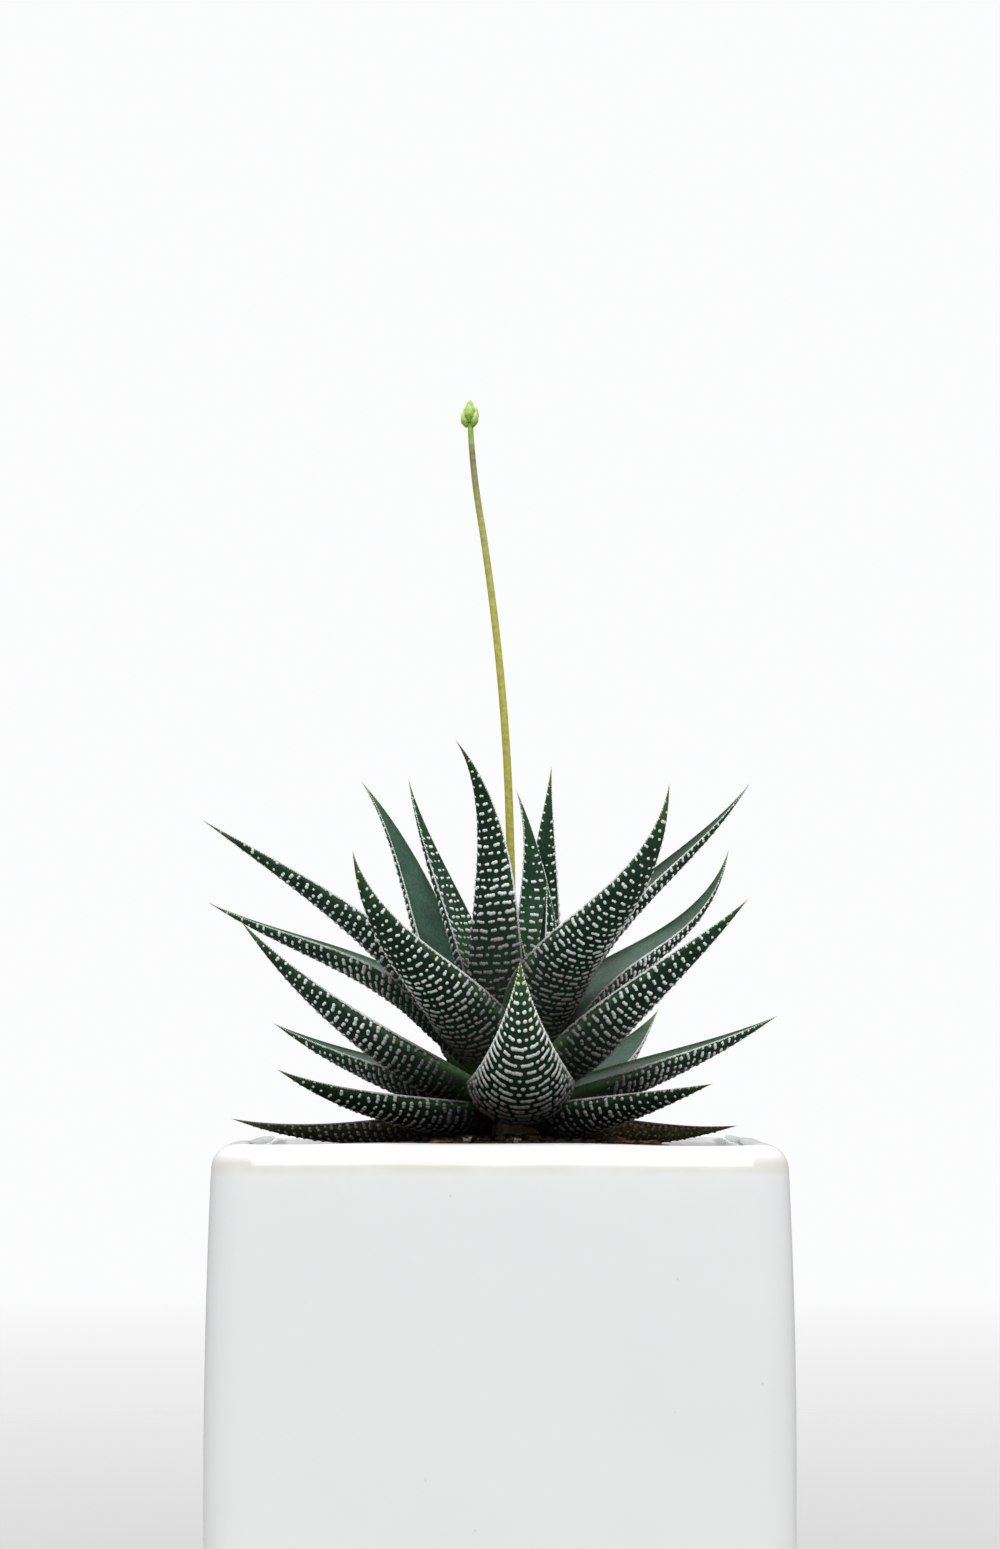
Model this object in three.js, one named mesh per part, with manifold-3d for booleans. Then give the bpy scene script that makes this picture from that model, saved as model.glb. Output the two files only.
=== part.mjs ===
// A zebra haworthia, a small aloe-like succulent, growing in a square glazed pot: pot, soil, grit stones,
// a short stem with its roots, a rosette of separate leaves, and one young flower stalk with its buds.
// Millimetres, +Z up. The origin is the centre of the pot's underside, and -Y is the front.
import * as THREE from "three";
import { mergeVertices } from "three/addons/utils/BufferGeometryUtils.js";
import Module from "manifold-3d";

const wasm = await Module();
wasm.setup();

// ---------------------------------------------------------------- driving dimensions
const GAP = 0.35; // the clearance cut round a piece where another one crowds it

const POT = { width: 79, bulge: 1, height: 80, wall: 5, floor: 6, corner: 6, edge: 3.6 };
const POT_INSIDE = { width: POT.width - 2 * POT.wall, corner: 3.5 };

const SOIL = { atWall: 75.8, atStem: 80.2, moundRadius: 27 };

const PLANT = { x: 2.2, y: 0 }; // where the plant's axis meets the soil
const STEM = { base: 70, shoulder: 4, top: 99, radius: 3.6, footRadius: 2.5, topRadius: 1.7 };
const ROOTS = { count: 5, reach: 21, depth: 34, radius: 1.5, tipRadius: 0.5, steps: 6, sides: 6 };
// A root's way down from the stem: the share of its reach, of its depth and of its sideways bend at each point.
const ROOT_ROUTE = [[0.05, 0, 0], [0.35, 0.18, 0], [0.7, 0.5, 0.4], [1, 1, 1]];

const LEAF = {
  baseWidth: 0.42, // width at the attachment, as a share of the full width
  fullWidthAt: 0.24, // where along the leaf it is widest
  thickness: 0.38, // at the widest place, as a share of the width
  channel: 0.2, // hollow of the inner face, as a share of the thickness
  taper: 1.35, // how soon it narrows past its widest place
  belly: 0.7, // how full it stays on the way
  thinning: 0.8, // how its thickness follows its width
  clearance: 1.5 * GAP, // between the stem and the leaf's attachment
  rings: 9,
  sides: 8,
};

// The rosette, from the innermost leaf outwards. Each leaf: the direction it points (degrees anticlockwise from
// +X seen from above), its length and width, its rise above level at the base, the middle and the tip (degrees),
// the height of its base, and how far its direction swings sideways by the tip (degrees).
const LEAVES = [
  [100, 17, 5.5, [80, 84, 88], 99, 0],
  [10, 21, 6.5, [78, 84, 86], 97.5, 0],
  [-130, 47, 9.5, [77, 86, 36], 93.5, 0],
  [54, 40, 7.5, [62, 80, 63], 94, 90],
  [66, 45, 8, [63, 79, 76], 92.5, 0],
  [144, 46, 8, [85, 63, 73], 91.5, 0],
  [-55, 53.5, 13, [90, 30, 80], 91.5, 0],
  [27, 59, 10.5, [87, 40, 49], 90.5, 0],
  [136, 53.5, 10, [46, 62, 41], 90.5, 0],
  [-132, 44.5, 13.5, [68, 32, 72], 90, 0],
  [84, 47, 12, [46, 46, 58], 89.5, 0],
  [-169, 57.5, 12, [67, 36, 29], 90, 0],
  [38, 54.5, 12, [82, 25, 71], 89, 0],
  [164, 54, 12.5, [70, 22, 25], 89, 0],
  [112, 46, 12.5, [34, 30, 50], 88, 0],
  [-24, 42.5, 13.5, [52, 35, 39], 88, 0],
  [-86, 38, 15, [5, 25, 87], 87, -8],
  [-167, 45, 13, [27, 32, 45], 87, 0],
  [58, 42, 13, [14, 16, 36], 86, 0],
  [154, 39, 12.5, [21, 14, 23], 86, 0],
  [21, 41, 13, [22, 15, 22], 86, 0],
  [-148, 36.5, 13, [9, 6, 20], 84.5, 0],
  [-43, 34, 13, [10, 6, 7], 84, 0],
  [98, 37, 12.5, [-2, 4, 20], 84, 0],
  [169, 39.5, 12, [-2, -5, 10], 84.2, 0],
  [32, 36.5, 12, [-5, -5, 2], 84, 0],
  [76, 40, 12.5, [22, 18, 34], 87, 0],
  [128, 38, 12.5, [16, 14, 26], 86.5, 0],
  [130, 32, 11.5, [-6, -6, 10], 83.5, 0],
  [66, 31, 11, [-7, -4, 12], 83.5, 0],
].map(([heading, length, width, rises, height, swing]) => ({
  heading, length, width, rises, height, swing,
}));

// The flower stalk's middle line, from the heart of the rosette to the tip of the young flower head.
const STALK_ROUTE = [
  [1.6, 1.5, 99.6], [1.7, 2.4, 112], [1.5, 3, 124.1], [0.9, 3, 138.2], [-0.4, 3, 153.4],
  [-2.2, 3, 167.7], [-3.6, 3, 176.9], [-4.2, 3, 182.6], [-4.5, 3, 187.2],
];
const STALK = { radius: 0.68, tipRadius: 0.42, steps: 16, sides: 6 };
const BUD = { length: 2.6, radius: 0.5 };
const BUD_RINGS = [
  // depth of the bud's foot below the stalk's end, its distance from the stalk's middle line, how far the bud
  // leans out (degrees), its size against BUD, and where the ring starts (degrees)
  { below: 0.9, outwards: 0.62, lean: 26, scale: 0.86, turn: 80 },
  { below: 0.3, outwards: 0.74, lean: 16, scale: 1, turn: 20 },
];
const TOP_BUD = { above: 0.1, scale: 1.2 };
const BUDS_IN_RING = 3;

const STONE_SIZE = 5;
const STONE_SHAPE = { long: 1.15, broad: 0.85, high: 0.7, sunk: 0.2, tilt: 0.35 };
// Grit stones resting on the soil: where they lie, their size against STONE_SIZE, and how they are turned.
const STONES = [
  [-2, -27, 0.92, 0.4], [-7.5, -24, 0.7, 1.9], [14, -26, 0.8, 2.6], [27, -8, 0.95, 0.9],
  [-27, 11, 1, 2.2], [-21, -27, 0.75, 1.2], [24, 26, 0.9, 2.9], [-5, 29, 0.85, 0.2],
].map(([x, y, size, turn]) => ({ x, y, size, turn }));

// ---------------------------------------------------------------- solids
const radians = THREE.MathUtils.degToRad;

function solidOf(geometry) {
  const bare = geometry.clone();
  bare.deleteAttribute("normal");
  bare.deleteAttribute("uv");
  const merged = mergeVertices(bare, 1e-4);
  return new wasm.Manifold(
    new wasm.Mesh({
      numProp: 3,
      vertProperties: new Float32Array(merged.getAttribute("position").array),
      triVerts: new Uint32Array(merged.index.array),
    }),
  );
}

function geometryOf(solid) {
  const mesh = solid.getMesh();
  const geometry = new THREE.BufferGeometry();
  geometry.setAttribute("position", new THREE.BufferAttribute(mesh.vertProperties, 3));
  geometry.setIndex(new THREE.BufferAttribute(mesh.triVerts, 1));
  geometry.computeVertexNormals();
  return geometry;
}

// Moves every vertex of a geometry to where the given function says.
function reshaped(geometry, move) {
  const vertices = geometry.getAttribute("position");
  const vertex = new THREE.Vector3();
  for (let i = 0; i < vertices.count; i++) {
    vertices.setXYZ(i, ...move(vertex.fromBufferAttribute(vertices, i)).toArray());
  }
  return geometry;
}

// A round rod along a curve, whose radius runs evenly from one end to the other.
function taperedRod(curve, radius, tipRadius, steps, sides) {
  const frames = curve.computeFrenetFrames(steps);
  return reshaped(new THREE.CylinderGeometry(1, 1, 1, sides, steps), ({ x, y, z }) => {
    const place = y + 0.5;
    const frame = Math.round(place * steps);
    const here = THREE.MathUtils.lerp(radius, tipRadius, place);
    return curve
      .getPointAt(place)
      .addScaledVector(frames.normals[frame], here * z)
      .addScaledVector(frames.binormals[frame], here * x);
  });
}

function roundedSquare(width, corner) {
  const half = width / 2;
  const straight = half - corner;
  const shape = new THREE.Shape();
  shape.absarc(straight, -straight, corner, -Math.PI / 2, 0);
  shape.absarc(straight, straight, corner, 0, Math.PI / 2);
  shape.absarc(-straight, straight, corner, Math.PI / 2, Math.PI);
  shape.absarc(-straight, -straight, corner, Math.PI, 1.5 * Math.PI);
  return shape.closePath();
}

function largestPiece(solid) {
  return solid.decompose().reduce((best, piece) => (piece.volume() > best.volume() ? piece : best));
}

// ---------------------------------------------------------------- pot and soil
function potSolid() {
  const outside = new THREE.ExtrudeGeometry(roundedSquare(POT.width, POT.corner), {
    depth: POT.height - 2 * POT.edge,
    steps: 4,
    bevelThickness: POT.edge,
    bevelSize: POT.edge,
    bevelOffset: -POT.edge,
    bevelSegments: 4,
    curveSegments: 4,
  }).translate(0, 0, POT.edge);
  reshaped(outside, (vertex) => {
    const fromMiddle = (2 * vertex.z) / POT.height - 1;
    const swell = 1 + ((2 * POT.bulge) / POT.width) * (1 - fromMiddle ** 2);
    return vertex.multiply(new THREE.Vector3(swell, swell, 1));
  });
  const inside = new THREE.ExtrudeGeometry(roundedSquare(POT_INSIDE.width, POT_INSIDE.corner), {
    depth: POT.height,
    bevelEnabled: false,
    curveSegments: 4,
  }).translate(0, 0, POT.floor);
  return solidOf(outside).subtract(solidOf(inside));
}

function soilHeight(x, y) {
  const outwards = Math.hypot(x - PLANT.x, y - PLANT.y) / SOIL.moundRadius;
  return SOIL.atWall + (SOIL.atStem - SOIL.atWall) * Math.sqrt(Math.max(0, 1 - outwards ** 2));
}

function soilSolid(grow) {
  const block = new THREE.ExtrudeGeometry(
    roundedSquare(POT_INSIDE.width - 2 * GAP, POT_INSIDE.corner - GAP),
    { depth: SOIL.atWall - POT.floor - GAP + grow, bevelEnabled: false, curveSegments: 4 },
  ).translate(0, 0, POT.floor + GAP);
  const mound = new THREE.SphereGeometry(1, 20, 12)
    .rotateX(Math.PI / 2)
    .scale(SOIL.moundRadius, SOIL.moundRadius, SOIL.atStem - SOIL.atWall)
    .translate(PLANT.x, PLANT.y, SOIL.atWall + grow);
  return solidOf(block).add(solidOf(mound));
}

function stoneSolid(stone, grow) {
  const radius = (STONE_SIZE / 2) * stone.size + grow;
  const geometry = new THREE.IcosahedronGeometry(1, 1)
    .scale(radius * STONE_SHAPE.long, radius * STONE_SHAPE.broad, radius * STONE_SHAPE.high)
    .rotateX(STONE_SHAPE.tilt * Math.sin(stone.turn * 3))
    .rotateZ(stone.turn)
    .translate(stone.x, stone.y, soilHeight(stone.x, stone.y) + radius * STONE_SHAPE.sunk);
  return solidOf(geometry);
}

// ---------------------------------------------------------------- stem, roots and leaves
function rootCurve(index) {
  const heading = (2 * Math.PI * (index + 0.35)) / ROOTS.count;
  const bend = index % 2 ? 0.5 : -0.4;
  const depth = ROOTS.depth * (index % 2 ? 0.8 : 1.05);
  const top = STEM.base + STEM.shoulder - 1;
  return new THREE.CatmullRomCurve3(
    ROOT_ROUTE.map(([outShare, downShare, bendShare]) => {
      const angle = heading + bend * bendShare;
      return new THREE.Vector3(
        PLANT.x + ROOTS.reach * outShare * Math.cos(angle),
        PLANT.y + ROOTS.reach * outShare * Math.sin(angle),
        top - depth * downShare,
      );
    }),
  );
}

function stemSolid(grow) {
  const profile = [
    new THREE.Vector2(0, STEM.base - grow),
    new THREE.Vector2(STEM.footRadius + grow, STEM.base - grow),
    new THREE.Vector2(STEM.radius + grow, STEM.base + STEM.shoulder),
    new THREE.Vector2(STEM.radius + grow, SOIL.atStem),
    new THREE.Vector2(STEM.topRadius + grow, STEM.top + grow),
    new THREE.Vector2(0, STEM.top + grow),
  ];
  const crown = new THREE.LatheGeometry(profile, 14)
    .rotateX(Math.PI / 2)
    .translate(PLANT.x, PLANT.y, 0);
  let solid = solidOf(crown);
  for (let i = 0; i < ROOTS.count; i++) {
    const { radius, tipRadius, steps, sides } = ROOTS;
    const root = taperedRod(rootCurve(i), radius + grow, tipRadius + grow, steps, sides);
    solid = solid.add(solidOf(root));
  }
  return solid;
}

// Share of the full width at a place from 0, the attachment, to 1, the tip.
function leafWidthAt(place) {
  if (place < LEAF.fullWidthAt) {
    const swell = Math.sin((Math.PI / 2) * (place / LEAF.fullWidthAt));
    return THREE.MathUtils.lerp(LEAF.baseWidth, 1, swell);
  }
  const past = (place - LEAF.fullWidthAt) / (1 - LEAF.fullWidthAt);
  return (1 - past) ** LEAF.taper * (1 + LEAF.belly * past);
}

const leafThicknessAt = (place) => leafWidthAt(place) ** LEAF.thinning;

// The stem's radius where a leaf springs from it.
function stemRadiusAt(height) {
  return THREE.MathUtils.mapLinear(height, SOIL.atStem, STEM.top, STEM.radius, STEM.topRadius);
}

// The leaf's middle line: at each ring, the point and the directions along, across and inwards.
function leafFrames(leaf) {
  const frames = [];
  const fine = 8;
  const count = LEAF.rings;
  const point = new THREE.Vector3();
  const start = radians(leaf.heading);
  const attachRadius = stemRadiusAt(leaf.height) + LEAF.clearance;
  point.set(
    PLANT.x + attachRadius * Math.cos(start),
    PLANT.y + attachRadius * Math.sin(start),
    leaf.height,
  );
  const [baseRise, middleRise, tipRise] = leaf.rises;
  const directionAt = (place) => ({
    rise: radians(
      baseRise * (1 - place) * (1 - 2 * place) +
        middleRise * 4 * place * (1 - place) +
        tipRise * place * (2 * place - 1),
    ),
    heading: radians(leaf.heading + leaf.swing * place),
  });
  for (let i = 0; i <= count; i++) {
    const { rise, heading } = directionAt(i / count);
    const along = new THREE.Vector3(
      Math.cos(rise) * Math.cos(heading),
      Math.cos(rise) * Math.sin(heading),
      Math.sin(rise),
    );
    const across = new THREE.Vector3(-Math.sin(heading), Math.cos(heading), 0);
    const inwards = new THREE.Vector3().crossVectors(along, across);
    frames.push({ point: point.clone(), along, across, inwards });
    for (let j = 0; j < fine && i < count; j++) {
      const step = directionAt((i + (j + 0.5) / fine) / count);
      const length = leaf.length / (count * fine);
      point.x += length * Math.cos(step.rise) * Math.cos(step.heading);
      point.y += length * Math.cos(step.rise) * Math.sin(step.heading);
      point.z += length * Math.sin(step.rise);
    }
  }
  return frames;
}

// A leaf, grown by a clearance on every side. It is a cone with its base at the leaf's attachment and its apex
// at the tip; each ring becomes a section with a full rounded outer face and a shallow hollow inner face.
function leafSolid(leaf, grow) {
  const frames = leafFrames(leaf);
  const cone = new THREE.ConeGeometry(1, 1, LEAF.sides, LEAF.rings);
  reshaped(cone, ({ x, y, z }) => {
    const place = y + 0.5;
    const { point, along, across, inwards } = frames[Math.round(place * LEAF.rings)];
    const width = leaf.width * leafWidthAt(place) + 2 * grow;
    const depth = leaf.width * LEAF.thickness * leafThicknessAt(place) + 2 * grow;
    const round = Math.hypot(x, z) || 1;
    const rise = (x > 0 ? -LEAF.channel : 1) * (x / round);
    return point
      .clone()
      .addScaledVector(along, grow * (2 * place - 1))
      .addScaledVector(across, place === 1 ? 0 : (width / 2) * (z / round))
      .addScaledVector(inwards, place === 1 ? 0 : depth * rise + grow);
  });
  return solidOf(cone);
}

// ---------------------------------------------------------------- flower stalk
const stalkCurve = new THREE.CatmullRomCurve3(STALK_ROUTE.map((p) => new THREE.Vector3(...p)));

function stalkSolid(grow) {
  const { radius, tipRadius, steps, sides } = STALK;
  return solidOf(taperedRod(stalkCurve, radius + grow, tipRadius + grow, steps, sides));
}

// A bud standing on its foot at the origin, pointing up.
function budGeometry(scale) {
  const profile = [[0, 0], [0.55, 0.12], [1, 0.42], [0.72, 0.74], [0, 1]].map(
    ([radius, height]) => new THREE.Vector2(radius * BUD.radius * scale, height * BUD.length * scale),
  );
  return new THREE.LatheGeometry(profile, 8).rotateX(Math.PI / 2);
}

// ---------------------------------------------------------------- materials and assembly
const glaze = new THREE.MeshStandardMaterial({ color: 0xf1f1ef, roughness: 0.12 });
const pottingMix = new THREE.MeshStandardMaterial({ color: 0x3a2a22, roughness: 0.95 });
const grit = new THREE.MeshStandardMaterial({ color: 0xa98573, roughness: 0.85 });
const corkyStem = new THREE.MeshStandardMaterial({ color: 0xb9ab84, roughness: 0.8 });
const leafSkin = new THREE.MeshStandardMaterial({ color: 0x24402f, roughness: 0.42 });
const stalkSkin = new THREE.MeshStandardMaterial({ color: 0xa3a23c, roughness: 0.5 });
const budSkin = new THREE.MeshStandardMaterial({ color: 0xa7cf5a, roughness: 0.5 });

const plant = new THREE.Group();

function addPiece(name, geometry, material) {
  const mesh = new THREE.Mesh(geometry, material);
  mesh.name = name;
  plant.add(mesh);
  return mesh;
}

addPiece("pot", geometryOf(potSolid()), glaze);

let soil = soilSolid(0).subtract(stemSolid(GAP));
STONES.forEach((stone, i) => {
  soil = soil.subtract(stoneSolid(stone, GAP));
  addPiece(`grit_stone_${i + 1}`, geometryOf(stoneSolid(stone, 0)), grit);
});
addPiece("soil", geometryOf(largestPiece(soil)), pottingMix);
addPiece("stem_and_roots", geometryOf(stemSolid(0)), corkyStem);

// Each leaf is pressed in between the ones inside it, so it gives way to them where their bases crowd.
const inside = [stemSolid(GAP), stalkSolid(GAP), soilSolid(GAP)];
LEAVES.forEach((leaf, i) => {
  const solid = largestPiece(inside.reduce((rest, taken) => rest.subtract(taken), leafSolid(leaf, 0)));
  addPiece(`leaf_${String(i + 1).padStart(2, "0")}`, geometryOf(solid), leafSkin);
  inside.push(leafSolid(leaf, GAP));
});

addPiece("flower_stalk", geometryOf(stalkSolid(0)), stalkSkin);

const stalkTop = stalkCurve.getPointAt(1);
BUD_RINGS.forEach(({ below, outwards, lean, scale, turn }, ring) => {
  for (let i = 0; i < BUDS_IN_RING; i++) {
    const stand = new THREE.Group();
    stand.position.copy(stalkTop).add(new THREE.Vector3(0, 0, -below));
    stand.rotation.z = radians(turn + (360 * i) / BUDS_IN_RING);
    plant.add(stand);
    const bud = addPiece(`bud_${ring * BUDS_IN_RING + i + 1}`, budGeometry(scale), budSkin);
    bud.position.x = outwards;
    bud.rotation.y = radians(lean);
    stand.add(bud);
  }
});
const topBud = addPiece(`bud_${BUD_RINGS.length * BUDS_IN_RING + 1}`, budGeometry(TOP_BUD.scale), budSkin);
topBud.position.copy(stalkTop).add(new THREE.Vector3(0, 0, TOP_BUD.above));

export default plant;
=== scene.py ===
"""A zebra haworthia in a square glazed pot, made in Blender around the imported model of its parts.

Metres, +Z up, -Y the front. The glazed pot, the soil with its crumbs and chips, the pebbles, the rosette
of white-banded leaves, the flower stalk and its buds are each modelled here. The stem with its roots is
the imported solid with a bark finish.
"""

import math
import random

import bmesh
import bpy
from mathutils import Matrix, Vector


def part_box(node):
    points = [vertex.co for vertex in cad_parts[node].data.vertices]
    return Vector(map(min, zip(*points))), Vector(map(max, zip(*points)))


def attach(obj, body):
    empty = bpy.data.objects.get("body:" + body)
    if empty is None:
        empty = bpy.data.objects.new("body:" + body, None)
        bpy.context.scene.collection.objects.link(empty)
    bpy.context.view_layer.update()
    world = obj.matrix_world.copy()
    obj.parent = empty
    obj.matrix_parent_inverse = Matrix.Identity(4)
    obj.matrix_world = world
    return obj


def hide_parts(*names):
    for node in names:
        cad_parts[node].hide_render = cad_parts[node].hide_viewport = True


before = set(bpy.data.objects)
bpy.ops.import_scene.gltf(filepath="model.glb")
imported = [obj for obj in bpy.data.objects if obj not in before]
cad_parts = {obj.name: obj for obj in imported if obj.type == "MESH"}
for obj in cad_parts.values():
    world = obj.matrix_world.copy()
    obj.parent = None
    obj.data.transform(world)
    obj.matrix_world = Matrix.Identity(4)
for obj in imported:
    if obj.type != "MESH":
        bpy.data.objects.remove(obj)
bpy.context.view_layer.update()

# ---------------------------------------------------------------- driving dimensions
MM = 0.001

POT_WIDTH = 79 * MM
POT_HEIGHT = 80 * MM
POT_BULGE = 0.8 * MM  # how far each wall swells out at half height
POT_WALL = 5 * MM
POT_FLOOR = 6 * MM
POT_CORNER = 6 * MM
POT_LIP = 3.6 * MM  # rounding of the lip's outer edge
POT_INNER_LIP = 1.1 * MM  # rounding of the lip's inner edge
POT_FOOT = 3.2 * MM  # rounding of the bottom edge
POT_WAVE = 0.7 * MM  # how far the hand-cut lip rises and falls
POT_WANDER = 0.36 * MM  # how far the walls wander in and out

SOIL_GAP = 0.35 * MM  # between the soil and the pot
SOIL_CORNER = 3.2 * MM
SOIL_CELLS = 110  # along each side of the sheet
SOIL_AT_WALL = 75.8 * MM
SOIL_AT_STEM = 80.2 * MM
MOUND_RADIUS = 27 * MM
PLANT = Vector((2.2 * MM, 0, 0))  # where the plant's axis meets the soil

# What is strewn over the soil: the piece, its lump, how many, their usual radius (mm), the seed they are
# drawn with, and how far their middles stand above the soil, as a share of the radius.
LITTER = [
    ("peat_crumbs", "crumb", 900, 0.75, 11, 0.35),
    ("bark_chips", "chip", 150, 1.5, 12, 0.3),
    ("perlite_bits", "crumb", 45, 0.8, 13, 0.3),
]
LUMP_SIZES = (0.55, 1.25)  # the smallest and the largest, as a share of the usual radius
LUMP_REACH = 1.3  # how far a lump reaches from its middle, as a share of its radius
LUMP_LEAN = 0.5  # how far it leans either way, in radians
STONE_COUNT = 8
STONE_FILL = 0.97  # how much of its node's box a pebble fills

STEM_TOP = 99 * MM
STEM_RADIUS = 3.6 * MM
STEM_TOP_RADIUS = 1.7 * MM
LEAF_CLEARANCE = 0.525 * MM  # between the stem and a leaf's foot

LEAF_FOOT = 0.42  # width at the attachment, as a share of the full width
LEAF_FULL_AT = 0.24  # where along the leaf it is widest
LEAF_THICKNESS = 0.38  # at the widest place, as a share of the width
LEAF_HOLLOW = 0.2  # hollow of the inner face, as a share of the thickness
LEAF_TAPER = 1.35  # how soon it narrows past its widest place
LEAF_BELLY = 0.7  # how full it stays on the way
LEAF_THINNING = 0.8  # how its thickness follows its width
LEAF_TIP = 0.999  # where the outline is last read, just short of its point
BLADE_SIDES = 28
BLADE_RINGS = 40
SPINE_STEPS = 72

# The rosette, from the innermost leaf outwards. Each leaf: the direction it points (degrees anticlockwise
# from +X seen from above), its length and width (mm), its rise above level at the base, the middle and the
# tip (degrees), the height of its base (mm), and how far it has swung sideways by the tip (degrees).
LEAVES = [
    (100, 17, 5.5, (80, 84, 88), 99, 0),
    (10, 21, 6.5, (78, 84, 86), 97.5, 0),
    (-130, 47, 9.5, (77, 86, 36), 93.5, 0),
    (54, 40, 7.5, (62, 80, 63), 94, 90),
    (66, 45, 8, (63, 79, 76), 92.5, 0),
    (144, 46, 8, (85, 63, 73), 91.5, 0),
    (-55, 53.5, 13, (90, 30, 80), 91.5, 0),
    (27, 59, 10.5, (87, 40, 49), 90.5, 0),
    (136, 53.5, 10, (46, 62, 41), 90.5, 0),
    (-132, 44.5, 13.5, (68, 32, 72), 90, 0),
    (84, 47, 12, (46, 46, 58), 89.5, 0),
    (-169, 57.5, 12, (67, 36, 29), 90, 0),
    (38, 54.5, 12, (82, 25, 71), 89, 0),
    (164, 54, 12.5, (70, 22, 25), 89, 0),
    (112, 46, 12.5, (34, 30, 50), 88, 0),
    (-24, 42.5, 13.5, (52, 35, 39), 88, 0),
    (-86, 38, 15, (5, 25, 87), 87, -8),
    (-167, 45, 13, (27, 32, 45), 87, 0),
    (58, 42, 13, (14, 16, 36), 86, 0),
    (154, 39, 12.5, (21, 14, 23), 86, 0),
    (21, 41, 13, (22, 15, 22), 86, 0),
    (-148, 36.5, 13, (9, 6, 20), 84.5, 0),
    (-43, 34, 13, (10, 6, 7), 84, 0),
    (98, 37, 12.5, (-2, 4, 20), 84, 0),
    (169, 39.5, 12, (-2, -5, 10), 84.2, 0),
    (32, 36.5, 12, (-5, -5, 2), 84, 0),
    (76, 40, 12.5, (22, 18, 34), 87, 0),
    (128, 38, 12.5, (16, 14, 26), 86.5, 0),
    (130, 32, 11.5, (-6, -6, 10), 83.5, 0),
    (66, 31, 11, (-7, -4, 12), 83.5, 0),
]
# How strong the blue-grey on the inner face is, by leaf: partly the leaf's own waxy bloom, and partly a
# painted reflection of the bright sky on the leaves whose inner face turns up.
BLOOM_AND_SHEEN = {
    9: 0.9, 11: 0.7, 12: 0.25, 13: 0.8, 14: 0.7, 15: 0.8, 19: 0.6, 20: 0.5, 21: 0.6, 27: 0.6, 28: 0.6,
}
AGED = {26: 1.0, 25: 0.45, 24: 0.3}  # how far the oldest leaves have turned olive and brown
WARTED_WITHIN = {4, 5, 6}  # leaves with warts on their inner face as well
BANDED = {17}  # leaves whose warts run together into long dashes

# How the warts are set out, in mm, with a (foot, tip) pair for the two ends of a leaf: their breadth, the
# step from row to row, and how far a dash of them may slant and shift. The rows arch up towards the margins
# by a share of half the leaf's width, and the margins' own warts are so many times the plain leaf's.
PLAIN_ROWS = {
    "breadth": (0.76, 0.44), "step": (1.14, 1.40), "slant": 0.18, "shift": 0.15,
    "arch": 0.16, "margin": 1.0,
}
BANDED_ROWS = {
    "breadth": (1.05, 0.50), "step": (1.65, 1.10), "slant": 0.06, "shift": 0.04,
    "arch": 0.30, "margin": 1.3,
}
PLAIN_RUN = (4.8, 0.3)  # how many warts a plain leaf's longest dashes add to their first (foot, tip)
PLAIN_GAP = (0.26, 0.60)  # the bare skin after a plain leaf's dash, mm (foot, tip)
BANDED_GAP = (0.22, 0.45)  # the least and most bare skin after a banded leaf's dash, mm
BANDED_DASHES = (1, 2, 3, 4, 4, 5)  # how many warts a banded leaf's dashes have
BANDED_TIP_DASHES = (1, 1, 2)  # the same near its tip
BANDED_TIP_FROM = 0.72  # where along the leaf that is
WART_OVERLAP = 0.38  # how much of each wart the next one in its dash hides
WART_ACROSS = 1.08  # a wart's size across the leaf, as a share of its breadth
WART_HEIGHT = 0.36
MARGIN_BREADTH = (0.58, 0.30)  # of the warts along the margins, mm (foot, tip)
MARGIN_ALONG = 1.15
MARGIN_HEIGHT = 0.40

# The flower stalk's middle line (mm), from the heart of the rosette to the tip of the young flower head.
STALK_ROUTE = [
    (1.6, 1.5, 99.6), (1.7, 2.4, 112), (1.5, 3, 124.1), (0.9, 3, 138.2), (-0.4, 3, 153.4),
    (-2.2, 3, 167.7), (-3.6, 3, 176.9), (-4.2, 3, 182.6), (-4.5, 3, 187.2),
]
STALK_RADIUS = 0.68 * MM
STALK_TIP_RADIUS = 0.42 * MM

BUD_LENGTH = 2.6 * MM
BUD_WIDTH = 1.5 * MM
# Each ring of three buds: its depth below the stalk's end and its distance from the stalk's middle line
# (mm), how far its buds lean out (degrees), their size, and where the ring starts (degrees).
BUD_RINGS = [(1.2, 0.5, 17, 0.95, 80), (0.5, 0.5, 9, 1.05, 20), (-0.1, 0, 0, 1.2, 0)]
BUDS_IN_RING = 3
BUD_COUNT = 7

FLOOR_RADIUS = 1.6
FLOOR_FADE = (0.03, 0.93)  # how far from the pot the floor starts to fade, and where it is gone
FLOOR_FADE_CURVE = 0.7
ROOM_LIGHT = (0.2, 1.3)  # the room's brightness low down and high up
LENS = 80  # mm
CAMERA_PLACE = (0, -0.507, 0.089)
CAMERA_TIP = 5.02  # degrees above level


# ---------------------------------------------------------------- working by hand
def start(primitive, **how):
    """Puts everything down, adds a primitive at its size and place, and opens it for editing."""
    bpy.ops.object.select_all(action="DESELECT")
    primitive(**how)
    piece = bpy.context.active_object
    bpy.ops.object.transform_apply(location=True, rotation=True, scale=True)
    bpy.ops.object.mode_set(mode="EDIT")
    return piece


def pick_faces(piece, wanted):
    """Selects the faces whose middle and normal suit, and nothing else."""
    bpy.ops.mesh.select_all(action="DESELECT")
    bpy.ops.mesh.select_mode(type="FACE")
    mesh = bmesh.from_edit_mesh(piece.data)
    for face in mesh.faces:
        face.select_set(wanted(face.calc_center_median(), face.normal))
    bmesh.update_edit_mesh(piece.data)


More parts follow.
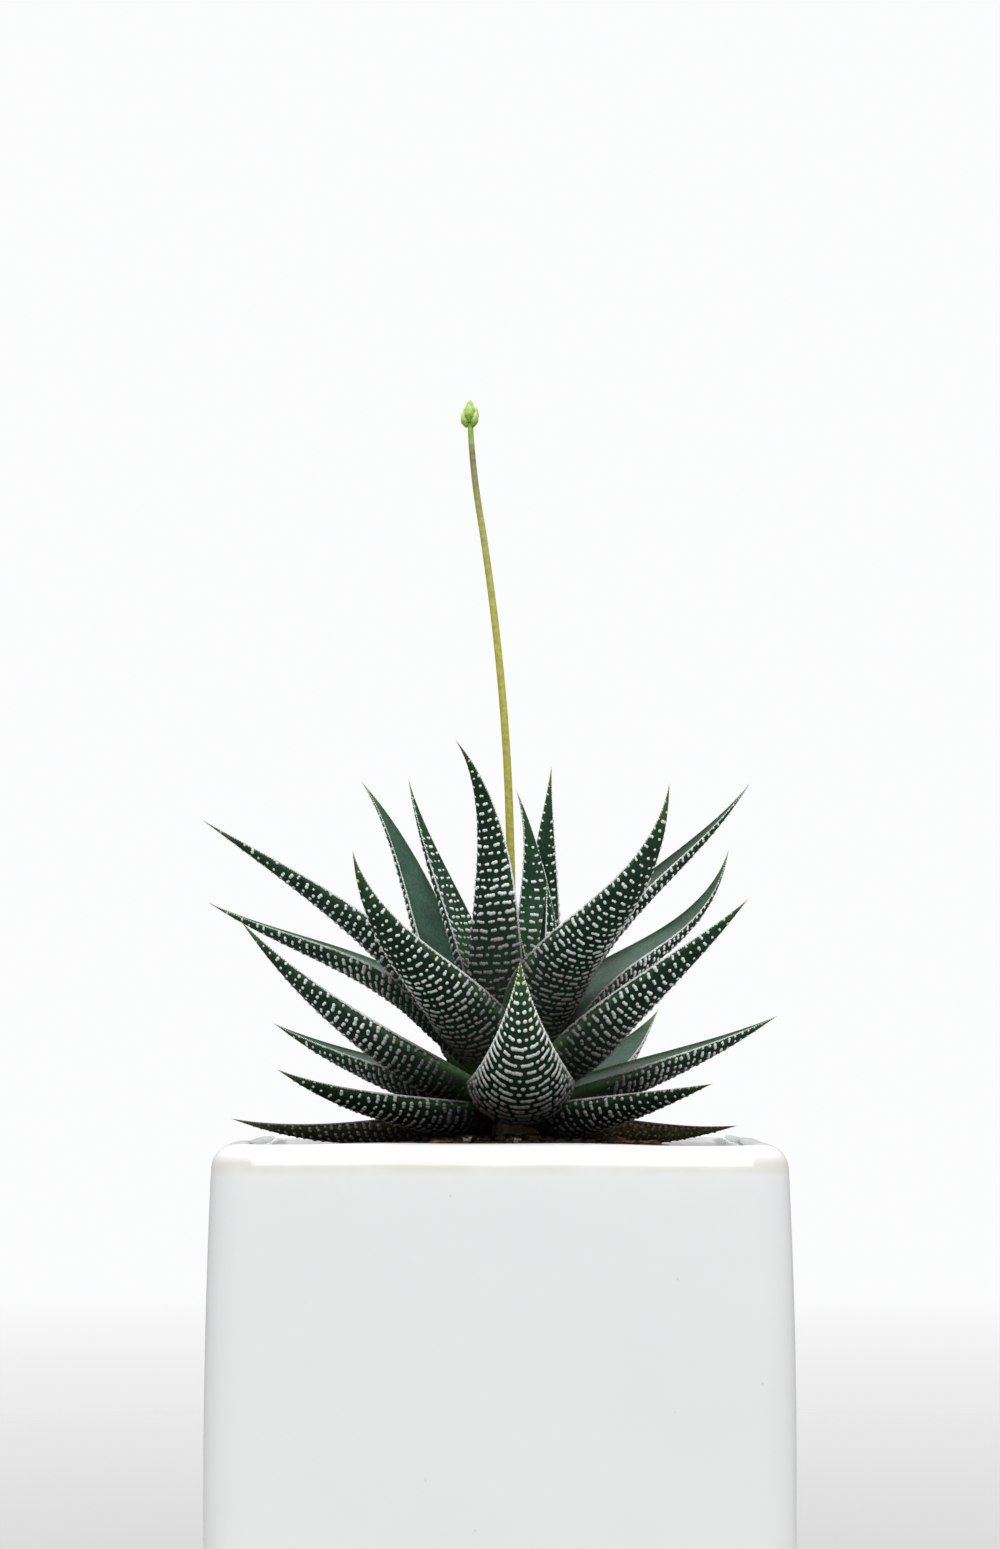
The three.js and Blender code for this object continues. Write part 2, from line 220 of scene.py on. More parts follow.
def pick_edges(piece, wanted):
    """Selects the edges whose two ends suit, and nothing else."""
    bpy.ops.mesh.select_all(action="DESELECT")
    bpy.ops.mesh.select_mode(type="EDGE")
    mesh = bmesh.from_edit_mesh(piece.data)
    for edge in mesh.edges:
        edge.select_set(wanted(edge.verts[0].co, edge.verts[1].co))
    bmesh.update_edit_mesh(piece.data)


def pick_points(piece, wanted):
    """Selects the vertices that suit, and nothing else."""
    bpy.ops.mesh.select_all(action="DESELECT")
    bpy.ops.mesh.select_mode(type="VERT")
    mesh = bmesh.from_edit_mesh(piece.data)
    for point in mesh.verts:
        point.select_set(wanted(point.co))
    mesh.select_flush_mode()
    bmesh.update_edit_mesh(piece.data)


def done(piece, smooth_below=None):
    """Leaves edit mode with the faces turned outwards, and smooth where they meet at less than an angle."""
    bpy.ops.mesh.select_all(action="SELECT")
    bpy.ops.mesh.normals_make_consistent(inside=False)
    bpy.ops.object.mode_set(mode="OBJECT")
    if smooth_below is None:
        bpy.ops.object.shade_smooth()
    else:
        bpy.ops.object.shade_smooth_by_angle(angle=math.radians(smooth_below))
    return piece


def modify(piece, kind, **settings):
    """Puts a modifier on a piece and applies it."""
    bpy.context.view_layer.objects.active = piece
    modifier = piece.modifiers.new(kind.title(), kind)
    for name, value in settings.items():
        setattr(modifier, name, value)
    bpy.ops.object.modifier_apply(modifier=modifier.name)


def roughen(piece, name, size, direction, rise, group, middle=0.5, octaves=2):
    """Moves the points of a vertex group in and out by a cloud whose lumps are `size` across."""
    cloud = bpy.data.textures.new(name, "CLOUDS")
    cloud.noise_scale = size
    cloud.noise_depth = octaves
    modify(
        piece, "DISPLACE", texture=cloud, texture_coords="LOCAL", direction=direction,
        strength=rise, mid_level=middle, vertex_group=group,
    )


def copy_of(master, name):
    """A copy with its own mesh."""
    piece = master.copy()
    piece.data = master.data.copy()
    piece.name = name
    piece.data.name = name
    bpy.context.scene.collection.objects.link(piece)
    return piece


def throw_away(*pieces):
    """Removes masters once their copies are made."""
    for piece in pieces:
        bpy.data.objects.remove(piece)


def hand_over(piece, name, finish, nodes):
    """Names a finished piece, gives it a finish if it has none yet, and has it ride for its nodes."""
    piece.name = name
    piece.data.name = name
    if finish is not None:
        piece.data.materials.clear()
        piece.data.materials.append(finish)
    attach(piece, "root")
    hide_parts(*nodes)


def mesh_piece(name, points, faces):
    """A piece straight from its points and faces, for what is strewn or strung in great numbers."""
    mesh = bpy.data.meshes.new(name)
    mesh.from_pydata(points, [], faces)
    mesh.shade_smooth()
    piece = bpy.data.objects.new(name, mesh)
    bpy.context.scene.collection.objects.link(piece)
    return piece


def mix(low, high, share):
    """The value that lies a share of the way from low to high."""
    return low + (high - low) * share


# ---------------------------------------------------------------- finishes
def new_finish(name, roughness, **sockets):
    """A material and its node tree, with what is the same all over set on the shader itself."""
    made = bpy.data.materials.new(name)
    made.use_nodes = True
    tree = made.node_tree
    shader = tree.nodes["Principled BSDF"]
    shader.inputs["Roughness"].default_value = roughness
    for socket, value in sockets.items():
        shader.inputs[socket.replace("_", " ")].default_value = value
    return made, tree, shader


def noise(tree, scale, detail=3, roughness=0.5):
    """Cloudy noise over the object, `scale` lumps to the metre."""
    place = tree.nodes.new("ShaderNodeTexCoord")
    made = tree.nodes.new("ShaderNodeTexNoise")
    made.inputs["Scale"].default_value = scale
    made.inputs["Detail"].default_value = detail
    made.inputs["Roughness"].default_value = roughness
    tree.links.new(place.outputs["Object"], made.inputs["Vector"])
    return made.outputs["Fac"]


def grains(tree, scale):
    """Grains over the object, `scale` to the metre: how far each point is from a grain's middle."""
    place = tree.nodes.new("ShaderNodeTexCoord")
    made = tree.nodes.new("ShaderNodeTexVoronoi")
    made.inputs["Scale"].default_value = scale
    tree.links.new(place.outputs["Object"], made.inputs["Vector"])
    return made.outputs["Distance"]


def height(tree, coordinates="Object"):
    """How high up, which on a piece is in metres above the ground."""
    place = tree.nodes.new("ShaderNodeTexCoord")
    parts = tree.nodes.new("ShaderNodeSeparateXYZ")
    tree.links.new(place.outputs[coordinates], parts.inputs["Vector"])
    return parts.outputs["Z"]


def marked(tree, name):
    """The value that a piece's own attribute holds."""
    made = tree.nodes.new("ShaderNodeAttribute")
    made.attribute_name = name
    return made.outputs["Fac"]


def spread(tree, value, low, high, out_low=0.0, out_high=1.0):
    """Spreads a value's range from low to high over another one, and holds it there."""
    made = tree.nodes.new("ShaderNodeMapRange")
    made.inputs["From Min"].default_value = low
    made.inputs["From Max"].default_value = high
    made.inputs["To Min"].default_value = out_low
    made.inputs["To Max"].default_value = out_high
    tree.links.new(value, made.inputs["Value"])
    return made.outputs["Result"]


def ramp(tree, value, *stops):
    """A colour for each value, run together between the stops, which are (place, (r, g, b))."""
    made = tree.nodes.new("ShaderNodeValToRGB")
    band = made.color_ramp
    while len(band.elements) < len(stops):
        band.elements.new(0.5)
    for element, (place, colour) in zip(band.elements, stops):
        element.position = place
        element.color = (*colour, 1)
    tree.links.new(value, made.inputs["Fac"])
    return made.outputs["Color"]


def blend(tree, share, first, second, kind="MIX"):
    """Two colours, each a socket or (r, g, b), mixed by a socket or a number."""
    made = tree.nodes.new("ShaderNodeMix")
    made.data_type = "RGBA"
    made.blend_type = kind
    factor, colour_a, colour_b, result = 0, 6, 7, 2  # where a colour mix has its sockets
    for socket, value in ((factor, share), (colour_a, first), (colour_b, second)):
        if isinstance(value, tuple):
            made.inputs[socket].default_value = (*value, 1)
        elif isinstance(value, (int, float)):
            made.inputs[socket].default_value = value
        else:
            tree.links.new(value, made.inputs[socket])
    return made.outputs[result]


def shaded(tree, colour, value, low, high, least, most):
    """A colour times a share of itself, which goes from least to most as a value goes from low to high."""
    return blend(tree, 1.0, colour, spread(tree, value, low, high, least, most), "MULTIPLY")


def bump(tree, shader, value, depth, strength=1.0):
    """Raises the surface by a value, `depth` metres at its highest."""
    made = tree.nodes.new("ShaderNodeBump")
    made.inputs["Distance"].default_value = depth
    made.inputs["Strength"].default_value = strength
    tree.links.new(value, made.inputs["Height"])
    tree.links.new(made.outputs["Normal"], shader.inputs["Normal"])


def glaze_finish():
    """White stoneware glaze: glassy and a little uneven, with a warm painted shade line low on the lip's
    rounding, and bare under the foot."""
    made, tree, shader = new_finish("white_glaze", 0.16, Coat_Weight=0.5, Coat_Roughness=0.05)
    cloudy = blend(tree, noise(tree, 38), (0.85, 0.85, 0.85), (0.90, 0.90, 0.895))
    specks = spread(tree, grains(tree, 170), 0.010, 0.04)
    glazed = blend(tree, specks, (0.72, 0.70, 0.67), cloudy)
    # a warm beige band low on the lip's rounding, broken into patches: a painted shade line
    above = spread(tree, height(tree), POT_HEIGHT - 1.25 * POT_LIP, POT_HEIGHT - 0.75 * POT_LIP)
    below = spread(
        tree, height(tree), POT_HEIGHT - 0.7 * POT_LIP, POT_HEIGHT - 0.35 * POT_LIP, 1.0, 0.0
    )
    lip_shade_band = blend(tree, above, (0.0, 0.0, 0.0), below)
    patchy = spread(tree, noise(tree, 120, 4), 0.35, 0.65)
    shade_band_patches = blend(tree, patchy, (0.2, 0.2, 0.2), (0.8, 0.8, 0.8))
    glazed_with_lip_shade = blend(tree, blend(tree, 1.0, lip_shade_band, shade_band_patches, "MULTIPLY"), glazed, (0.74, 0.69, 0.60))
    under = spread(tree, height(tree), 0.6 * MM, 1.4 * MM)
    bisque = blend(tree, noise(tree, 900), (0.62, 0.57, 0.50), (0.72, 0.68, 0.61))
    tree.links.new(blend(tree, under, bisque, glazed_with_lip_shade), shader.inputs["Base Color"])
    bump(tree, shader, noise(tree, 110, 2), 0.00025, 0.35)
    return made


def soil_finish():
    """Dark peaty potting mix, with paler fibres and grit in it."""
    made, tree, shader = new_finish("potting_mix", 0.95, Specular_IOR_Level=0.2)
    peat = ramp(
        tree, noise(tree, 420, 8, 0.65),
        (0.30, (0.010, 0.006, 0.004)), (0.52, (0.045, 0.026, 0.016)), (0.72, (0.120, 0.080, 0.052)),
    )
    grit = spread(tree, grains(tree, 900), 0.10, 0.18)
    tree.links.new(blend(tree, grit, (0.30, 0.22, 0.17), peat), shader.inputs["Base Color"])
    bump(tree, shader, noise(tree, 1500, 6, 0.7), 0.0006)
    return made


def bark_finish():
    """Corky bark and root skin, pale brown with darker rings."""
    made, tree, shader = new_finish("stem_bark", 0.85, Specular_IOR_Level=0.25)
    cork = ramp(
        tree, noise(tree, 700, 6, 0.6),
        (0.30, (0.10, 0.07, 0.035)), (0.55, (0.30, 0.24, 0.13)), (0.75, (0.48, 0.42, 0.26)),
    )
    tree.links.new(cork, shader.inputs["Base Color"])
    bump(tree, shader, noise(tree, 1800, 5), 0.0004)
    return made


def chip_finish(name, dark, middle, pale):
    """Rough mineral or wooden bits, each with its own speckle."""
    made, tree, shader = new_finish(name, 0.9, Specular_IOR_Level=0.25)
    speckle = ramp(tree, noise(tree, 600, 8, 0.7), (0.28, dark), (0.5, middle), (0.72, pale))
    tree.links.new(speckle, shader.inputs["Base Color"])
    bump(tree, shader, noise(tree, 2200, 6, 0.7), 0.0003)
    return made


def painted_shade_near_soil(tree, colour, least):
    """Painted shade: a colour that darkens towards the soil, to a share of itself."""
    return shaded(tree, colour, height(tree), SOIL_AT_STEM + MM, SOIL_AT_STEM + 15 * MM, least, 1.0)


def leaf_finish():
    """Leaf skin: nearly black green on both faces, paler at the foot and yellow-brown at the very tip,
    with a blue-grey bloom on the inner face of some leaves that is partly a painted reflection of the sky,
    painted light shining through the margins, painted shade towards the soil, and olive going brown on
    the oldest."""
    made, tree, shader = new_finish(
        "leaf_skin", 0.58, Specular_IOR_Level=0.06, Subsurface_Weight=0.05, Subsurface_Scale=0.002
    )
    along = marked(tree, "along")
    dry_tip = (1.00, (0.260, 0.190, 0.080))
    outer = ramp(
        tree, along,
        (0.03, (0.110, 0.135, 0.050)), (0.12, (0.030, 0.052, 0.024)), (0.24, (0.0125, 0.0300, 0.0190)),
        (0.70, (0.0135, 0.0350, 0.0210)), (0.88, (0.0200, 0.0500, 0.0230)), (0.96, (0.080, 0.120, 0.035)),
        dry_tip,
    )
    plain_inner = ramp(
        tree, along,
        (0.05, (0.200, 0.320, 0.080)), (0.22, (0.036, 0.085, 0.036)), (0.70, (0.016, 0.044, 0.025)),
        (0.90, (0.030, 0.070, 0.030)), (0.97, (0.120, 0.150, 0.050)), dry_tip,
    )
    # the blue-grey of the inner face: partly waxy bloom, partly a painted reflection of the sky
    frost_and_sheen = ramp(
        tree, along,
        (0.05, (0.130, 0.170, 0.090)), (0.25, (0.068, 0.135, 0.095)), (0.65, (0.062, 0.125, 0.092)),
        (0.88, (0.045, 0.090, 0.060)), (0.97, (0.150, 0.180, 0.060)), dry_tip,
    )
    bare_margin = spread(tree, marked(tree, "edge"), 0.50, 0.95)
    bloom_and_sheen_inner = blend(tree, bare_margin, frost_and_sheen, (0.036, 0.088, 0.044))
    inner = blend(tree, marked(tree, "bloom_and_sheen"), plain_inner, bloom_and_sheen_inner)
    sides = blend(tree, marked(tree, "inner"), outer, inner)
    # a brighter green along the margins: painted light shining through the thin edge
    lit_through_rim = spread(tree, marked(tree, "edge"), 0.93, 1.0, 0.0, 0.45)
    lit_through_rimmed = blend(tree, lit_through_rim, sides, (0.070, 0.150, 0.060))
    withered = ramp(
        tree, noise(tree, 320, 6, 0.6),
        (0.30, (0.060, 0.035, 0.012)), (0.50, (0.110, 0.085, 0.025)), (0.72, (0.120, 0.150, 0.045)),
    )
    aged = blend(tree, marked(tree, "age"), lit_through_rimmed, withered)
    cloudy = shaded(tree, aged, noise(tree, 260, 4), 0.3, 0.7, 0.74, 1.3)
    grained = shaded(tree, cloudy, noise(tree, 2400, 2), 0.35, 0.65, 0.82, 1.18)
    toned = shaded(tree, grained, marked(tree, "tone"), 0.0, 1.0, 0.85, 1.2)
    # painted shade: the skin darkens towards the soil, to half its colour
    tree.links.new(painted_shade_near_soil(tree, toned, 0.5), shader.inputs["Base Color"])
    bump(tree, shader, noise(tree, 1600, 4), 0.00012, 0.6)
    return made


def bead_finish():
    """The leaves' pearly warts: chalk white, greener at the tip, and dark at the foot as painted shade."""
    made, tree, shader = new_finish(
        "leaf_beads", 0.5, Specular_IOR_Level=0.35, Subsurface_Weight=0.1, Subsurface_Scale=0.0006
    )
    # dark from the foot to a third of the way up: painted shade low in the rosette; greener near the tip is
    # their own colour
    chalk_and_painted_shade = ramp(
        tree, marked(tree, "along"),
        (0.04, (0.05, 0.04, 0.035)), (0.18, (0.10, 0.085, 0.08)), (0.32, (0.27, 0.25, 0.25)),
        (0.48, (0.86, 0.88, 0.86)), (0.84, (0.88, 0.92, 0.86)), (0.95, (0.60, 0.72, 0.40)),
        (1.00, (0.52, 0.58, 0.20)),
    )
    uneven = shaded(tree, chalk_and_painted_shade, noise(tree, 700, 2), 0.3, 0.7, 0.82, 1.08)
    worn = spread(tree, marked(tree, "age"), 0.0, 1.0, 0.0, 0.85)
    aged = blend(tree, worn, uneven, (0.17, 0.14, 0.08))
    # painted shade: the warts darken towards the soil, to a quarter of their colour
    tree.links.new(painted_shade_near_soil(tree, aged, 0.25), shader.inputs["Base Color"])
    return made


def stalk_finish():
    """Flower stalk: brownish at the foot, olive yellow above, and lime green under the buds."""
    made, tree, shader = new_finish("stalk_skin", 0.45, Subsurface_Weight=0.1, Subsurface_Scale=0.001)
    up = spread(tree, height(tree), 100 * MM, 188 * MM)
    skin = ramp(
        tree, up,
        (0.00, (0.240, 0.220, 0.050)), (0.25, (0.480, 0.450, 0.060)), (0.60, (0.500, 0.490, 0.070)),
        (0.82, (0.430, 0.460, 0.100)), (0.89, (0.300, 0.290, 0.100)), (0.935, (0.260, 0.260, 0.090)),
        (0.950, (0.300, 0.470, 0.080)), (1.00, (0.340, 0.600, 0.090)),
    )
    streaked = shaded(tree, skin, noise(tree, 1300, 3), 0.3, 0.7, 0.75, 1.15)
    tree.links.new(streaked, shader.inputs["Base Color"])
    bump(tree, shader, noise(tree, 2500, 3), 0.0001, 0.6)
    return made


def bud_finish():
    """Bud skin: leaf green at the foot and pale lime at the tip, with darker veins."""
    made, tree, shader = new_finish("bud_skin", 0.45, Subsurface_Weight=0.2, Subsurface_Scale=0.001)
    skin = ramp(
        tree, marked(tree, "along"),
        (0.00, (0.240, 0.400, 0.055)), (0.35, (0.370, 0.560, 0.080)), (0.75, (0.500, 0.720, 0.170)),
        (1.00, (0.760, 0.900, 0.420)),
    )
    veined = shaded(tree, skin, noise(tree, 1500, 3), 0.35, 0.65, 0.78, 1.12)
    tree.links.new(veined, shader.inputs["Base Color"])
    return made


# ---------------------------------------------------------------- pot
def swell_at(z):
    """How much wider the pot is at a height than at its lip and foot."""
    from_middle = 2 * z / POT_HEIGHT - 1
    return 1 + 2 * POT_BULGE / POT_WIDTH * (1 - from_middle ** 2)


def inset_round(radius, steps, inwards):
    """Rounds an edge off by small insets of the picked face, over an outer edge or down an inner one."""
    for i in range(steps):
        here, beyond = (math.pi / 2 * (i + k) / steps for k in (0, 1))
        if inwards:
            here, beyond = math.pi / 2 - here, math.pi / 2 - beyond
        side = radius * abs(math.cos(here) - math.cos(beyond))
        lift = radius * (math.sin(beyond) - math.sin(here))
        bpy.ops.mesh.inset(thickness=side, depth=lift)


def make_pot(glaze):
    """A cube with rounded uprights, pillowed walls and a rounded lip and foot, with the planting space
    sunk in it, and its lip and walls a little uneven."""
    body = POT_HEIGHT - POT_LIP - POT_FOOT
    pot = start(
        bpy.ops.mesh.primitive_cube_add, size=1,
        location=(0, 0, POT_FOOT + body / 2), scale=(POT_WIDTH, POT_WIDTH, body),
    )
    pick_edges(pot, lambda a, b: abs(a.z - b.z) > body / 2)
    bpy.ops.mesh.bevel(offset=POT_CORNER, segments=6, affect="EDGES")

    rings = 8
    for i in range(1, rings):
        bpy.ops.mesh.select_all(action="SELECT")
        level = POT_FOOT + body * i / rings
        bpy.ops.mesh.bisect(plane_co=(0, 0, level), plane_no=(0, 0, 1))
    for i in range(rings + 1):
        level = POT_FOOT + body * i / rings
        pick_points(pot, lambda p: abs(p.z - level) < 0.1 * MM)
        wider = swell_at(level)
        bpy.ops.transform.resize(value=(wider, wider, 1), center_override=(0, 0, level))

    pick_faces(pot, lambda middle, normal: normal.z > 0.9)
    inset_round(POT_LIP, 6, inwards=False)
    bpy.ops.mesh.inset(thickness=POT_WALL - POT_LIP - POT_INNER_LIP, depth=0)
    inset_round(POT_INNER_LIP, 4, inwards=True)
    chamfer = 2 * MM  # where the inner walls meet the floor
    bpy.ops.mesh.extrude_region_move(
        TRANSFORM_OT_translate={"value": (0, 0, POT_FLOOR - POT_HEIGHT + POT_INNER_LIP + chamfer)}
    )
    bpy.ops.mesh.inset(thickness=chamfer, depth=-chamfer)
    pick_faces(pot, lambda middle, normal: normal.z < -0.9)
    inset_round(POT_FOOT, 4, inwards=False)

    columns = 9
    straight = POT_WIDTH / 2 - POT_CORNER
    inside = 0.985  # keeps the outermost cuts clear of the uprights' rounding
    for i in range(columns):
        across = mix(-straight, straight, i / (columns - 1)) * inside
        for side in ((1, 0, 0), (0, 1, 0)):
            bpy.ops.mesh.select_all(action="SELECT")
            bpy.ops.mesh.bisect(plane_co=Vector(side) * across, plane_no=side)
    done(pot)
    modify(pot, "SUBSURF", levels=1, render_levels=1)
    walls = pot.vertex_groups.new(name="walls")
    lip = pot.vertex_groups.new(name="lip")
    flat_foot = 10 * MM  # how far up the walls start to wander
    waved = 14 * MM  # how far down from the lip they share its wave
    for point in pot.data.vertices:
        walls.add([point.index], min(1, point.co.z / flat_foot), "REPLACE")
        lip.add([point.index], max(0, 1 - (POT_HEIGHT - point.co.z) / waved), "REPLACE")
    roughen(pot, "uneven_walls", 28 * MM, "NORMAL", POT_WANDER, "walls", octaves=0)
    roughen(pot, "uneven_lip", 17 * MM, "Z", POT_WAVE, "lip", octaves=0)
    bpy.ops.object.shade_smooth()
    hand_over(pot, "glazed_pot", glaze, ["pot"])


# ---------------------------------------------------------------- soil
def soil_height(x, y):
    """How high the soil lies: level at the walls, and heaped up round the plant."""
    outwards = math.hypot(x - PLANT.x, y - PLANT.y) / MOUND_RADIUS
    return SOIL_AT_WALL + (SOIL_AT_STEM - SOIL_AT_WALL) * math.sqrt(max(0, 1 - outwards ** 2))


def make_soil(finish):
    """A fine sheet the size of the planting space, drawn down to the pot's floor, heaped and roughened."""
    width = POT_WIDTH - 2 * POT_WALL - 2 * SOIL_GAP
    soil = start(
        bpy.ops.mesh.primitive_grid_add, size=width, x_subdivisions=SOIL_CELLS, y_subdivisions=SOIL_CELLS,
        location=(0, 0, SOIL_AT_WALL),
    )
    bpy.ops.mesh.extrude_region_move(
        TRANSFORM_OT_translate={"value": (0, 0, SOIL_AT_WALL - POT_FLOOR - SOIL_GAP)}
    )
    pick_points(soil, lambda p: p.z < SOIL_AT_WALL + MM)
    bpy.ops.transform.translate(value=(0, 0, POT_FLOOR + SOIL_GAP - SOIL_AT_WALL))
    pick_faces(soil, lambda middle, normal: middle.z < SOIL_AT_WALL / 2 and abs(normal.z) > 0.9)
    bpy.ops.mesh.dissolve_faces()
    pick_points(soil, lambda p: p.z > SOIL_AT_WALL + MM)
    bpy.ops.transform.translate(value=(0, 0, POT_FLOOR + SOIL_GAP - SOIL_AT_WALL))
    done(soil, smooth_below=50)

    straight = width / 2 - SOIL_CORNER
    level_edge = 2 * MM  # how wide a border stays smooth along the walls
    top = soil.vertex_groups.new(name="top")
    for point in soil.data.vertices:
        x, y, z = point.co
        beyond = Vector((max(0, abs(x) - straight), max(0, abs(y) - straight)))
        if beyond.length > SOIL_CORNER:
            beyond *= SOIL_CORNER / beyond.length
            point.co.x = math.copysign(straight + beyond.x, x)
            point.co.y = math.copysign(straight + beyond.y, y)
        if z > SOIL_AT_WALL - MM:
            point.co.z = soil_height(x, y)
            inside = width / 2 - max(abs(x), abs(y))
            top.add([point.index], min(1, inside / level_edge), "REPLACE")
    roughen(soil, "lumps", 5 * MM, "Z", 1.5 * MM, "top", middle=0.55)
    roughen(soil, "crumbs", 1.6 * MM, "Z", 1.1 * MM, "top", middle=0.55)
    hand_over(soil, "potting_mix", finish, ["soil"])


def master_lump(name, subdivisions, roughness, seed, squash):
    """A unit lump to strew: a ball knocked out of shape, and squashed."""
    lump = start(bpy.ops.mesh.primitive_ico_sphere_add, subdivisions=subdivisions, radius=1)
    bpy.ops.mesh.select_all(action="SELECT")
    bpy.ops.transform.vertex_random(offset=roughness, uniform=0.6, normal=0.4, seed=seed)
    bpy.ops.transform.resize(value=squash)
    done(lump, smooth_below=40)
    lump.name = name
    return lump


def strew(name, master, count, size, seed, standing, finish):
    """Strews copies of a lump over the soil as one piece, smaller and larger, each turned its own way."""
    chance = random.Random(seed)
    points = []
    faces = []
    reach = POT_WIDTH / 2 - POT_WALL - SOIL_GAP
    while len(points) < count * len(master.data.vertices):
        radius = size * chance.uniform(*LUMP_SIZES)
        limit = reach - LUMP_REACH * radius
        x = chance.uniform(-limit, limit)
        y = chance.uniform(-limit, limit)
        turn = Matrix.Rotation(chance.uniform(0, 2 * math.pi), 3, "Z")
        tilt = Matrix.Rotation(chance.uniform(-LUMP_LEAN, LUMP_LEAN), 3, "X")
        if math.hypot(x - PLANT.x, y - PLANT.y) < STEM_RADIUS + radius:
            continue
        place = Vector((x, y, soil_height(x, y) + radius * standing))
        first = len(points)
        points += [place + turn @ tilt @ (vertex.co * radius) for vertex in master.data.vertices]
        faces += [[first + i for i in face.vertices] for face in master.data.polygons]
    piece = mesh_piece(name, points, faces)
    piece.data.shade_flat()
    piece.data.materials.append(finish)
    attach(piece, "root")


def make_litter(soil, bark, white):
    """The crumbs of peat, chips of bark and bits of perlite on the soil."""
    lumps = {
        "crumb": master_lump("crumb", subdivisions=1, roughness=0.35, seed=3, squash=(1, 0.85, 0.7)),
        "chip": master_lump("chip", subdivisions=1, roughness=0.3, seed=8, squash=(1.5, 0.6, 0.28)),
    }
    for (name, lump, count, size, seed, standing), finish in zip(LITTER, (soil, bark, white)):
        strew(name, lumps[lump], count, size * MM, seed, standing, finish)
    throw_away(*lumps.values())


def make_stones(finish):
    """The pebbles on the soil, each cut to the box of its node."""
    master = master_lump("stone", subdivisions=3, roughness=0.06, seed=5, squash=(1, 1, 1))
    modify(master, "SMOOTH", factor=0.6, iterations=4)
    for i in range(STONE_COUNT):
        node = f"grit_stone_{i + 1}"
        low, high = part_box(node)
        stone = copy_of(master, f"pebble_{i + 1}")
        size = (high - low) / 2
        turn = Matrix.Rotation(1.7 * i, 3, "Z") @ Matrix.Rotation(0.9 * i, 3, "X")
        stone.data.transform(turn.to_4x4())
        reach = [max(abs(vertex.co[k]) for vertex in stone.data.vertices) for k in range(3)]
        fit = [size[k] / reach[k] * STONE_FILL for k in range(3)]
        stone.data.transform(Matrix.Translation((low + high) / 2) @ Matrix.Diagonal((*fit, 1)))
        hand_over(stone, f"pebble_{i + 1}", finish, [node])
    throw_away(master)


# ---------------------------------------------------------------- leaves
def width_share(place):
    """The leaf's width at a place from 0, its foot, to 1, its tip, as a share of the full width."""
    if place < LEAF_FULL_AT:
        return mix(LEAF_FOOT, 1, math.sin(math.pi / 2 * place / LEAF_FULL_AT))
    past = (place - LEAF_FULL_AT) / (1 - LEAF_FULL_AT)
    return (1 - past) ** LEAF_TAPER * (1 + LEAF_BELLY * past)


def thickness_share(place):
    """The leaf's thickness at a place, as a share of the full thickness."""
    return width_share(place) ** LEAF_THINNING


def master_blade():
    """A straight leaf, a metre long and wide, standing on its foot with its outer face towards -Y: a disc
    whose inner half is pressed in to a shallow channel, drawn up ring by ring to the leaf's outline."""
    blade = start(bpy.ops.mesh.primitive_circle_add, vertices=BLADE_SIDES, radius=0.5, fill_type="NGON")
    pick_points(blade, lambda p: p.y > 0.001)
    bpy.ops.transform.resize(value=(1, -LEAF_HOLLOW, 1), center_override=(0, 0, 0))
    bpy.ops.mesh.select_all(action="SELECT")
    foot = (LEAF_FOOT, 2 * LEAF_THICKNESS * thickness_share(0), 1)
    bpy.ops.transform.resize(value=foot, center_override=(0, 0, 0))
    for i in range(BLADE_RINGS):
        here, beyond = i / BLADE_RINGS, (i + 1) / BLADE_RINGS
        bpy.ops.mesh.extrude_region_move(TRANSFORM_OT_translate={"value": (0, 0, 1 / BLADE_RINGS)})
        if i < BLADE_RINGS - 1:
            narrower = width_share(beyond) / width_share(here)
            thinner = thickness_share(beyond) / thickness_share(here)
            bpy.ops.transform.resize(value=(narrower, thinner, 1), center_override=(0, 0, beyond))
    bpy.ops.transform.resize(value=(0, 0, 1), center_override=(0, 0, 1))
    bpy.ops.mesh.merge(type="CENTER")
    return done(blade)


def master_bead():
    """A wart, a unit dome on a flat foot."""
    bead = start(bpy.ops.mesh.primitive_uv_sphere_add, segments=8, ring_count=4, radius=1)
    bpy.ops.mesh.select_all(action="SELECT")
    bpy.ops.mesh.bisect(plane_co=(0, 0, -0.02), plane_no=(0, 0, 1), use_fill=True, clear_inner=True)
    return done(bead)


def mark(piece, name, value_at):
    """Gives each vertex of a piece a value for its finish to read."""
    attribute = piece.data.attributes.new(name, "FLOAT", "POINT")
    attribute.data.foreach_set("value", [value_at(vertex) for vertex in piece.data.vertices])


def spine_of(heading, length, rises, height_of_foot, swing):
    """A leaf's middle line, as the point and the directions across and inwards at even places."""
    base, middle, tip = rises

    def directions(place):
        rise = base * (1 - place) * (1 - 2 * place) + middle * 4 * place * (1 - place)
        rise = math.radians(rise + tip * place * (2 * place - 1))
        turn = math.radians(heading + swing * place)
        along = Vector((math.cos(rise) * math.cos(turn), math.cos(rise) * math.sin(turn), math.sin(rise)))
        return along, Vector((-math.sin(turn), math.cos(turn), 0))

    up_the_stem = (height_of_foot - SOIL_AT_STEM) / (STEM_TOP - SOIL_AT_STEM)
    out = mix(STEM_RADIUS, STEM_TOP_RADIUS, up_the_stem) + LEAF_CLEARANCE
    turn = math.radians(heading)
    point = PLANT + Vector((out * math.cos(turn), out * math.sin(turn), height_of_foot))
    spine = []
    for i in range(SPINE_STEPS + 1):
        along, across = directions(i / SPINE_STEPS)
        spine.append((point.copy(), across, along.cross(across)))
        onwards, _ = directions((i + 0.5) / SPINE_STEPS)
        point += onwards * (length / SPINE_STEPS)
    return spine


